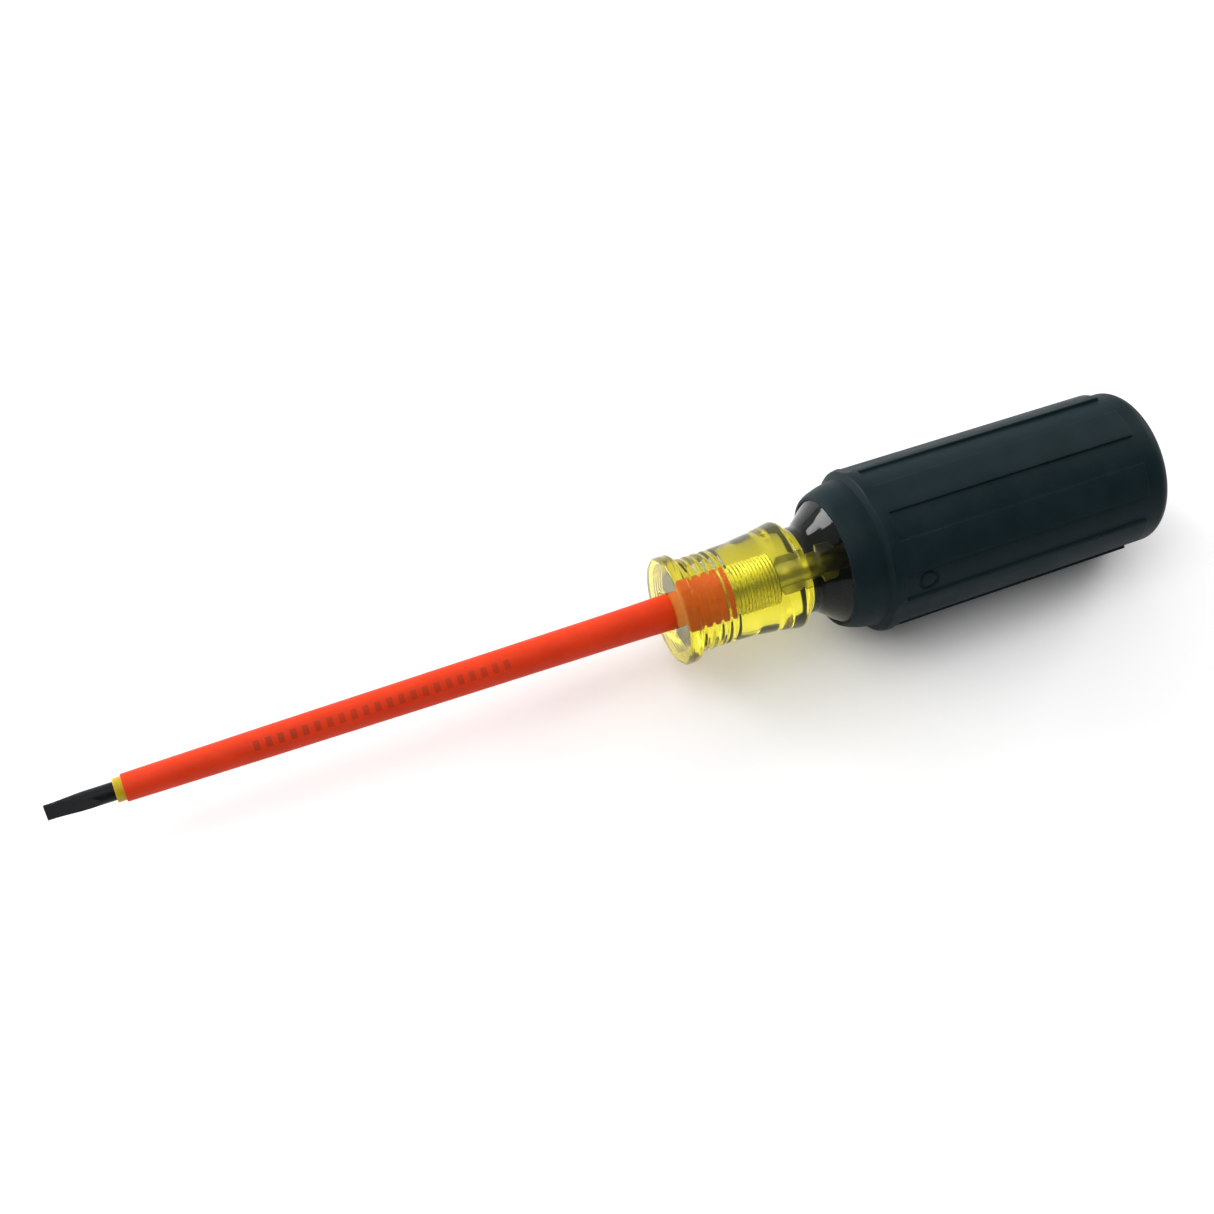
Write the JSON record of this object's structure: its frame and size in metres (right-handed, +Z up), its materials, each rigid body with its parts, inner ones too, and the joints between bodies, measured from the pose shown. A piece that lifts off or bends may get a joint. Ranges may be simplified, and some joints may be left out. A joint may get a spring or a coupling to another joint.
{
  "type": "insulated screwdriver",
  "caption": "Long slim cabinet-tip screwdriver with a two-layer insulated shaft, a clear flanged handle and a panelled rubber cushion grip.",
  "frame": {"origin": "centre of the bounding box's bottom face, with the tool lying on the bottom panel of its grip", "axes": "+X along the tool from the tip to the butt, +Z up from the table, +Y to complete a right-handed frame"},
  "size_m": [0.1964, 0.0286, 0.0286],
  "materials": {
    "blade": "black oxide, satin",
    "inner_insulation": "satin yellow",
    "outer_insulation": "satin vermilion",
    "handle_core": "clear yellow, polished",
    "cushion_grip": "soft matt"
  },
  "bodies": {
    "root": {"blade": "blade", "inner_insulation": "inner_insulation", "outer_insulation": "outer_insulation", "handle_core": "handle_core", "cushion_grip": "cushion_grip"}
  },
  "joints": []
}
